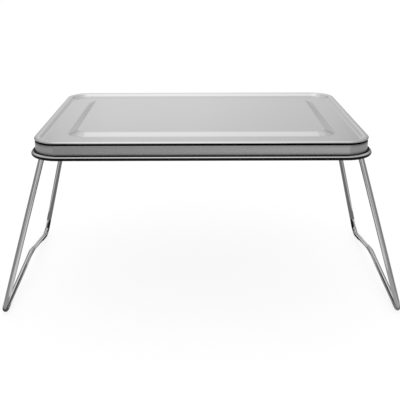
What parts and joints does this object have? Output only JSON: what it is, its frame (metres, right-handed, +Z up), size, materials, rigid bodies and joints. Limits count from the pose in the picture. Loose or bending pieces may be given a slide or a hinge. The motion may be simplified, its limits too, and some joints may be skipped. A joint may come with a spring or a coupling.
{
  "type": "folding camping table",
  "caption": "Low folding table: a pressed steel tray top with a raised rim and rolled lower edge, on splayed bent-wire legs that fold up under the tray.",
  "frame": {"origin": "on the floor, under the middle of the tray", "axes": "+X to the right along the tray's length, +Y to the back, +Z up; the picture looks along +Y"},
  "size_m": [0.4424, 0.25, 0.2],
  "materials": {
    "tray_steel": "satin stainless sheet",
    "rim_wire_steel": "drawn wire",
    "leg_wire_steel": "bright polished wire",
    "strap_steel": "satin strip"
  },
  "bodies": {
    "tray": {"tray_top": "tray_steel", "rim_wire": "rim_wire_steel", "front_left_hinge_strap": "strap_steel", "rear_left_hinge_strap": "strap_steel", "front_right_hinge_strap": "strap_steel", "rear_right_hinge_strap": "strap_steel"},
    "left_leg_frame": {"left_leg": "leg_wire_steel"},
    "right_leg_frame": {"right_leg": "leg_wire_steel"}
  },
  "joints": [
    {"name": "left_leg_fold", "type": "hinge", "parent": "tray", "child": "left_leg_frame", "pos_m": [-0.16404, 0, 0.19195], "axis": [0, -1, 0], "range_deg": [0, 106]},
    {"name": "right_leg_fold", "type": "hinge", "parent": "tray", "child": "right_leg_frame", "pos_m": [0.16404, 0, 0.19195], "axis": [0, 1, 0], "range_deg": [0, 103.2]}
  ]
}
